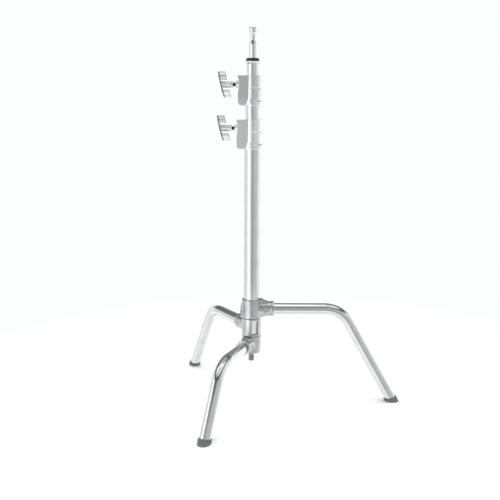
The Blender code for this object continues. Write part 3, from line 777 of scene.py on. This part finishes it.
# ---------------------------------------------------------------- base hardware
def toward_screw(height):
    """The set screw's height and direction, from a height on the column: +X points outward."""
    offset = middle("column_screw") - AXIS
    direction = math.atan2(offset.y, offset.x)
    return Matrix.Translation((0, 0, offset.z - height)) @ Matrix.Rotation(direction, 4, "Z")


def set_screw_place(height):
    """The same place with +Z pointing outward."""
    return toward_screw(height) @ Matrix.Rotation(math.radians(90), 4, "Y")


def screw_lug(height):
    """The lug on the high casting for the set screw, with a shoulder that falls outward."""
    start = COLUMN_R + 0.001
    lug = rounded([(start, -0.0070, 0), (LUG_END, -0.0070, 0.0016), (LUG_END, 0.0075, 0.0050),
                   (HUB_R, 0.0220, 0.0050), (start, 0.0220, 0)])
    return placed(prism(lug, LUG_WIDTH), toward_screw(height))


def set_screw_hole(height):
    cutter = blind_bore(SET_SCREW_R + GAP, 0.014, LUG_END, 0.0004, SMALL)
    return placed(cutter, set_screw_place(height))


def make_set_screw():
    """A grub screw with a hexagon socket, just below the lug's face."""
    start, end = COLUMN_R + GAP, LUG_END - 0.0008
    shank = threaded(SET_SCREW_R, start, end, 0.001, 0.0005)
    socket = hexagon(0.0030, end - 0.0025, end + 0.001, 0.0)
    add_piece("column_screw", boolean(shank, [socket]), upright() @ set_screw_place(0.0))


def make_base_hardware():
    head_low, head_high = low("base_bolt").z, low("spring_seat").z - GAP
    shank_top = high("base_bolt").z
    head = hexagon(0.0112, head_low, head_high, 0.0012)
    shank = threaded(SCREW_R, head_high - 0.001, shank_top)
    add_piece("base_bolt", boolean(head, [shank], "UNION"), upright())
    for node, bore, edge in (("spring_seat", SCREW_R + GAP, 0.0005),
                             ("thrust_washer", SCREW_R + 2 * GAP, 0.0005),
                             ("base_plug", SCREW_R + GAP, 0.001)):
        washer = pipe(radius_of(node), bore, low(node).z, high(node).z, edge, 0.0005)
        add_piece(node, washer, upright())


def make_base_spring():
    """A coil of round wire, built at rest. On the stand its turns close up when the leg stack is pulled
    down.
    """
    wire, coil, turns, per_turn = 0.0008, 0.0055, 5.5, 36
    bottom, top = low("base_spring").z + wire, high("base_spring").z - wire
    count = int(turns * per_turn)
    curve = bpy.data.curves.new("coil", "CURVE")
    curve.dimensions = "3D"
    curve.bevel_depth = wire
    curve.bevel_resolution = 4
    curve.use_fill_caps = True
    spline = curve.splines.new("POLY")
    spline.points.add(count)
    for i, point in enumerate(spline.points):
        angle = 2 * math.pi * i / per_turn
        z = bottom + (top - bottom) * i / count
        point.co = (coil * math.cos(angle), coil * math.sin(angle), z, 1)
    obj = bpy.data.objects.new("coil", curve)
    bpy.context.scene.collection.objects.link(obj)
    bpy.context.view_layer.update()
    mesh = bpy.data.meshes.new_from_object(obj.evaluated_get(bpy.context.evaluated_depsgraph_get()))
    bpy.data.objects.remove(obj, do_unlink=True)
    spring = add_piece("base_spring", mesh, upright())
    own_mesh(spring)


# ---------------------------------------------------------------- riser clamps
def clamp_facts(name):
    """A clamp's tube radii, outside and inside, and the heights of its collar, screw and tube end."""
    outer, inner, tube = ((COLUMN_R, RISER_1_R, "column_tube") if name == "lower"
                          else (RISER_1_R, RISER_2_R, "riser_1_tube"))
    return (outer, inner, low(name + "_collar").z, high(name + "_collar").z,
            middle(name + "_clamp_screw").z, high(tube).z)


BLOCK_REACH = 0.0160                          # of the clamp block, from the tube's outside
BOSS_LENGTH = 0.0052


def make_collar(name):
    """A stepped sleeve with two grooves, a clamp block on the knob's side and a boss."""
    outer, inner, bottom_z, top_z, screw_z, tube_top = clamp_facts(name)
    bottom, screw = bottom_z - top_z, screw_z - top_z
    wall = outer + 0.0031
    flare = wall + 0.0024
    face = outer + BLOCK_REACH
    boss_end = face + BOSS_LENGTH
    body = turned([(0.0, 0.0, 0), (wall, 0.0, 0.0010), (wall + 0.0004, bottom + 0.0160, 0.012),
                   (flare, bottom + 0.0035, 0.004), (flare, bottom, 0.0014), (0.0, bottom, 0)])
    block = [(0.004, -0.0003, 0), (face + 0.0006, -0.0003, 0.0009), (face + 0.0006, -0.0055, 0.0008),
             (face - 0.0012, -0.0068, 0.0010), (face - 0.0012, -0.0265, 0.004),
             (face + 0.0002, -0.0310, 0.004), (face + 0.0006, -0.0430, 0.004),
             (face, bottom + 0.0015, 0.0055), (0.004, bottom + 0.0015, 0)]
    block = prism(rounded(block), 2 * (wall - 0.0017))
    boss = placed(along_x(turned([(0.0, 0.006, 0), (0.0078, 0.006, 0), (0.0078, face + 0.001, 0.001),
                                  (0.0074, face + 0.002, 0.001), (0.0074, boss_end, 0.0012),
                                  (0.0, boss_end, 0)])),
                  Matrix.Translation((0, 0, screw)))
    voxel = 0.00045
    shape = melted(joined([body, block, boss]), voxel, 5, keep=0.45)
    mouth, seat = 0.0005, tube_top - top_z + GAP
    guide = inner + 0.0004
    bore = turned([(0.0, 0.004, 0), (guide + mouth + 0.004, 0.004, 0), (guide, -mouth, 0),
                   (guide, seat, 0), (outer + GAP, seat, 0), (outer + GAP, bottom + mouth, 0),
                   (outer + GAP + mouth + 0.004, bottom - 0.004, 0), (0.0, bottom - 0.004, 0)], 128)
    pad_end = inner + GAP + 0.0092
    at_screw = Matrix.Translation((0, 0, screw))
    pad_bore = placed(along_x(rod(0.0053, 0.005, pad_end, sides=SMALL)), at_screw)
    screw_hole = placed(along_x(blind_bore(SCREW_R + GAP, 0.010, boss_end, 0.0006, SMALL)), at_screw)
    grooves = []
    for level in (-0.0266, -0.0520):
        width, depth, over = 0.0008, 0.0006, 0.0015
        grooves.append(turned([(wall + over, level + width * (1 + over / depth), 0),
                               (wall - depth, level, 0),
                               (wall + over, level - width * (1 + over / depth), 0)], 128))
    front = prism([(-0.05, 0.01), (0.0045, 0.01), (0.0045, bottom - 0.01), (-0.05, bottom - 0.01)], 0.1)
    grooves = [boolean(groove, [front], "INTERSECT") for groove in grooves]
    mesh = boolean(shape, [bore, pad_bore, screw_hole, *grooves])
    add_piece(name + "_collar", mesh, upright(top_z, math.pi), even=True)


def make_clamp_screw(name):
    node = name + "_clamp_screw"
    screw_z = middle(node).z
    start, end = AXIS.x - high(node).x, AXIS.x - low(node).x
    rod = along_x(threaded(SCREW_R, start, end))
    add_piece(node, rod, upright(screw_z, math.pi))


def make_brake_pad(name):
    node = name + "_brake_pad"
    start, end = AXIS.x - high(node).x, AXIS.x - low(node).x
    rim = (high(node).z - low(node).z) / 2
    add_piece(node, along_x(rod(rim, start, end, 0.0005, SMALL)), upright(middle(node).z, math.pi))


SCREW_SHOWS = 0.0055                          # of the clamp screw, between boss and knob
KNOB_HALF_SPAN = 0.0265
KNOB_LOBE_R = 0.0125
KNOB_WAIST = 0.0092
KNOB_WALL = 0.0028
KNOB_REACH = 0.027
KNOB_LEAN = 0.235
KNOB_CROWN = 1.9
KNOB_DEPTH = 0.0165
KNOB_HUB_R = 0.0066


def wing_outline(inset):
    """The knob seen along its axis: two round lobes and a narrower waist."""
    lobe = KNOB_HALF_SPAN - KNOB_LOBE_R
    radius = KNOB_LOBE_R - inset
    waist = KNOB_WAIST - inset
    upper = arc((0.0, lobe), radius, -35.0, 215.0, 48)
    lower = arc((0.0, -lobe), radius, 145.0, 395.0, 48)
    return upper + [(-waist, 0.0)] + lower + [(waist, 0.0)]


def wing_side(start, thickness, depth, low_h, high_h):
    """The knob seen from its side, between two heights: a domed face and its back edge."""
    steps = 48

    def face(height):
        return start + KNOB_REACH + KNOB_LEAN * height - KNOB_CROWN * height * height
    heights = [low_h + (high_h - low_h) * i / steps for i in range(steps + 1)]
    front = [(face(h) - thickness, h) for h in heights]
    return front + [(face(h) - depth, h) for h in reversed(heights)]


def rim_share(point, start):
    """How much a point of a knob belongs to the dark band round its face, 0 to 1."""
    lobe = KNOB_HALF_SPAN - KNOB_LOBE_R
    height = abs(point.z)
    if height > lobe:
        inside = KNOB_LOBE_R - math.hypot(point.y, height - lobe)
    else:
        inside = KNOB_WAIST + (KNOB_LOBE_R - KNOB_WAIST) * height / lobe - abs(point.y)
    behind = start + KNOB_REACH + KNOB_LEAN * point.z - KNOB_CROWN * point.z ** 2 - point.x
    band = min(max((0.0037 - behind) / 0.0014, 0.0), 1.0)
    edge = min(max((0.0018 - inside) / 0.0008, 0.0), 1.0)
    return band * edge


def make_knob(name):
    """A hollow-cast wing knob on a round hub."""
    outer, _, _, _, screw_z, _ = clamp_facts(name)
    start = outer + BLOCK_REACH + BOSS_LENGTH + SCREW_SHOWS
    span = KNOB_HALF_SPAN + 0.004
    wing = boolean(prism(wing_outline(0.0), 0.20, "YZ"),
                   [prism(wing_side(start, 0.0, KNOB_DEPTH, -span, span), 0.06)], "INTERSECT")
    hollow = boolean(prism(wing_outline(KNOB_WALL), 0.20, "YZ"),
                     [prism(wing_side(start, KNOB_WALL, 0.05, -span, span), 0.06)], "INTERSECT")
    gap = prism(wing_side(start, KNOB_WALL, 0.05, -0.0115, 0.0102), 0.06)
    wing = boolean(wing, [hollow, gap])
    hub = along_x(turned([(0.0, start, 0), (KNOB_HUB_R, start, 0.0012),
                          (KNOB_HUB_R, start + KNOB_REACH - 0.001, 0),
                          (0.0, start + KNOB_REACH - 0.001, 0)]))
    voxel = 0.0004
    shape = melted(joined([wing, hub]), voxel, 7, keep=0.8)
    mesh = boolean(shape, [along_x(blind_bore(SCREW_R + GAP, start + 0.0165, start, 0.0006, SMALL))])
    rim = mesh.attributes.new("rim", "FLOAT", "POINT")
    for vertex, value in zip(mesh.vertices, rim.data):
        value.value = rim_share(vertex.co, start)
    add_piece(name + "_knob", mesh, upright(screw_z, math.pi))


# ---------------------------------------------------------------- camera, floor and studio
CAMERA_PLACE = Vector((-0.0039, -1.5205, 0.6444))     # from the column's foot
CAMERA_TURN = (math.radians(90 - 10.79), math.radians(0.245))


def make_camera():
    data = bpy.data.cameras.new("camera")
    data.lens = 50.0
    data.sensor_width = 36.0
    camera = bpy.data.objects.new("camera", data)
    bpy.context.scene.collection.objects.link(camera)
    pitch, roll = CAMERA_TURN
    camera.matrix_world = (Matrix.Translation(AXIS + CAMERA_PLACE)
                           @ Matrix.Rotation(pitch, 4, "X") @ Matrix.Rotation(roll, 4, "Z"))
    bpy.context.scene.camera = camera


def make_floor():
    """A pale round floor that fades into the pale background, so that it has no edge. In the chrome
    the studio's own tones stand for it."""
    radius, fade_start = 1.0, 0.66
    bm = bmesh.new()
    bmesh.ops.create_circle(bm, cap_ends=True, segments=128, radius=radius)
    mesh = bpy.data.meshes.new("floor")
    bm.to_mesh(mesh)
    bm.free()
    material = bpy.data.materials.new("pale_floor")
    material.use_nodes = True
    tree = material.node_tree
    nodes, links = tree.nodes, tree.links
    shader = nodes["Principled BSDF"]
    shader.inputs["Base Color"].default_value = (0.93, 0.95, 0.95, 1)
    shader.inputs["Roughness"].default_value = 0.9
    shader.inputs["Specular IOR Level"].default_value = 0.1
    place = nodes.new("ShaderNodeTexCoord")
    length = nodes.new("ShaderNodeVectorMath")
    length.operation = "LENGTH"
    links.new(place.outputs["Object"], length.inputs[0])
    fade = nodes.new("ShaderNodeMapRange")
    fade.interpolation_type = "SMOOTHSTEP"
    fade.inputs["From Min"].default_value = fade_start
    fade.inputs["From Max"].default_value = radius
    fade.inputs["To Min"].default_value = 1.0
    fade.inputs["To Max"].default_value = 0.0
    links.new(length.outputs["Value"], fade.inputs["Value"])
    path = nodes.new("ShaderNodeLightPath")
    not_mirrored = math_node(tree, "SUBTRACT", 1.0, path.outputs["Is Glossy Ray"])
    seen = math_node(tree, "MULTIPLY", fade.outputs["Result"], not_mirrored)
    links.new(seen, shader.inputs["Alpha"])
    mesh.materials.append(material)
    floor = bpy.data.objects.new("floor", mesh)
    bpy.context.scene.collection.objects.link(floor)


def make_light():
    """A large soft light overhead. The chrome doesn't mirror it, but the studio's own tones."""
    place, target = Vector((0.0, 0.2, 2.3)), AXIS + Vector((0, 0, 0.4))
    data = bpy.data.lights.new("overhead", "AREA")
    data.size, data.energy = 2.6, 60.0
    light = bpy.data.objects.new("overhead", data)
    bpy.context.scene.collection.objects.link(light)
    light.location = place
    light.rotation_euler = (target - place).to_track_quat("-Z", "Y").to_euler()
    light.visible_glossy = False


# What the studio looks like from the stand. Grey tones of its walls, low and high, by direction in
# degrees: 0 is the side that the stand faces (-Y), and the right is positive. Then the shares of the
# low and the high wall, in front of the stand and at its back, by degrees above the horizon. BACK
# says by direction where the back is. The tones of floor and ceiling go by degrees again.
LOW_WALL = ((-180, 0.36), (-164, 0.42), (-150, 1.00), (-134, 1.10), (-102, 0.74), (-78, 0.90),
            (-58, 1.30), (-40, 1.80), (-26, 1.05), (-12, 0.60), (4, 0.41), (20, 0.50), (36, 0.62),
            (66, 0.60), (90, 0.85), (115, 1.02), (136, 1.25), (150, 1.05), (165, 0.44), (180, 0.36))
HIGH_WALL = ((-180, 0.20), (-130, 0.18), (-90, 0.16), (0, 0.11), (80, 0.16), (140, 0.19), (180, 0.20))
FRONT_LOW = ((-90, 0.0), (-46, 0.0), (-22, 0.98), (0, 1.00), (24, 0.98), (30, 0.90), (37, 0.0),
             (45, 0.0), (55, 0.6), (66, 0.6), (78, 0.0), (90, 0.0))
BACK_LOW = ((-90, 0.0), (-46, 0.0), (-22, 0.98), (0, 1.00), (9, 1.00), (26, 0.0), (90, 0.0))
FRONT_HIGH = ((-90, 0.0), (29, 0.0), (37, 1.0), (45, 1.0), (58, 0.0), (90, 0.0))
BACK_HIGH = ((-90, 0.0), (9, 0.0), (26, 1.0), (49, 1.0), (64, 0.0), (90, 0.0))
BACK = ((-180, 1.0), (-122, 1.0), (-100, 0.0), (100, 0.0), (122, 1.0), (180, 1.0))
FLOOR_AND_CEILING = ((-90, 0.90), (-46, 1.02), (-16, 0.0), (46, 0.0), (62, 0.48), (79, 0.55),
                     (84, 2.0), (90, 2.0))
PALE = (0.975, 0.990, 0.990)                  # the background behind the stand


LEAN_START, LEAN = 0.156, 0.2                 # the low wall's tones lean to the left as they rise
BRIGHTEST = 2.0                               # a colour ramp holds tones from 0 to 1 only


def tone_ramp(nodes, links, value, stops, scale):
    """A smooth run of grey tones, divided by scale, along a value from 0 to 1."""
    ramp = nodes.new("ShaderNodeValToRGB")
    ramp.color_ramp.interpolation = "EASE"
    elements = ramp.color_ramp.elements
    while len(elements) < len(stops):
        elements.new(0.5)
    for element, (position, tone) in zip(elements, stops):
        element.position = position
        element.color = (tone / scale, tone / scale, tone / scale, 1)
    links.new(value, ramp.inputs["Fac"])
    return ramp.outputs["Color"]


def make_world():
    """A pale studio for the reflections, with a soft box to the left and darker places in front and
    behind. What the camera itself sees behind the stand is one pale tone."""
    world = bpy.data.worlds.new("studio")
    bpy.context.scene.world = world
    world.use_nodes = True
    tree = world.node_tree
    nodes, links = tree.nodes, tree.links

    def vector_node(operation, first, second):
        node = nodes.new("ShaderNodeVectorMath")
        node.operation = operation
        links.new(first, node.inputs[0])
        links.new(second, node.inputs[1])
        return node.outputs["Vector"]

    place = nodes.new("ShaderNodeTexCoord")
    split = nodes.new("ShaderNodeSeparateXYZ")
    links.new(place.outputs["Generated"], split.inputs["Vector"])
    x, y, z = (split.outputs[axis] for axis in "XYZ")
    turn = math_node(tree, "ARCTAN2", x, math_node(tree, "MULTIPLY", y, -1.0))
    around = math_node(tree, "MULTIPLY_ADD", turn, 1 / (2 * math.pi), 0.5)
    rise = math_node(tree, "MULTIPLY_ADD", z, 0.5, 0.5)
    above = math_node(tree, "MAXIMUM", math_node(tree, "SUBTRACT", z, LEAN_START), 0.0)
    leaning = math_node(tree, "ADD", around, math_node(tree, "MULTIPLY", above, LEAN))

    def round_ramp(value, tones, scale):
        stops = [(angle / 360 + 0.5, tone) for angle, tone in tones]
        return tone_ramp(nodes, links, value, stops, scale)

    def height_ramp(tones, scale):
        stops = [(math.sin(math.radians(angle)) / 2 + 0.5, tone) for angle, tone in tones]
        return tone_ramp(nodes, links, rise, stops, scale)

    back = round_ramp(around, BACK, 1.0)
    tones = []
    for value, wall, front_share, back_share in ((leaning, LOW_WALL, FRONT_LOW, BACK_LOW),
                                                 (around, HIGH_WALL, FRONT_HIGH, BACK_HIGH)):
        share = nodes.new("ShaderNodeMix")
        share.data_type = "VECTOR"
        front_end, back_end = (socket for socket in share.inputs
                               if socket.type == "VECTOR" and socket.name in ("A", "B"))
        links.new(back, share.inputs["Factor"])
        links.new(height_ramp(front_share, 1.0), front_end)
        links.new(height_ramp(back_share, 1.0), back_end)
        mixed = next(socket for socket in share.outputs if socket.type == "VECTOR")
        tones.append(vector_node("MULTIPLY", round_ramp(value, wall, BRIGHTEST), mixed))
    walls = vector_node("ADD", *tones)
    studio = nodes["Background"]
    all_tones = vector_node("ADD", walls, height_ramp(FLOOR_AND_CEILING, BRIGHTEST))
    links.new(all_tones, studio.inputs["Color"])
    studio.inputs["Strength"].default_value = BRIGHTEST

    pale = nodes.new("ShaderNodeBackground")
    pale.inputs["Color"].default_value = (*PALE, 1)
    choose = nodes.new("ShaderNodeMixShader")
    path = nodes.new("ShaderNodeLightPath")
    links.new(path.outputs["Is Camera Ray"], choose.inputs["Fac"])
    links.new(studio.outputs["Background"], choose.inputs[1])
    links.new(pale.outputs["Background"], choose.inputs[2])
    links.new(choose.outputs["Shader"], nodes["World Output"].inputs["Surface"])


# ---------------------------------------------------------------- the whole scene
make_camera()
make_floor()
make_world()
make_light()
bpy.context.scene.view_settings.view_transform = "Standard"
make_tubes()
make_top()
make_leg_tubes()
make_feet()
make_castings()
make_set_screw()
make_base_hardware()
make_base_spring()
for clamp in ("lower", "upper"):
    make_collar(clamp)
    make_clamp_screw(clamp)
    make_brake_pad(clamp)
    make_knob(clamp)
for inner_node in ("riser_1_plug", "riser_1_guide", "riser_2_plug", "riser_2_guide"):
    frame["nodes"][inner_node].data.materials.clear()
    frame["nodes"][inner_node].data.materials.append(MATERIALS["nylon"])
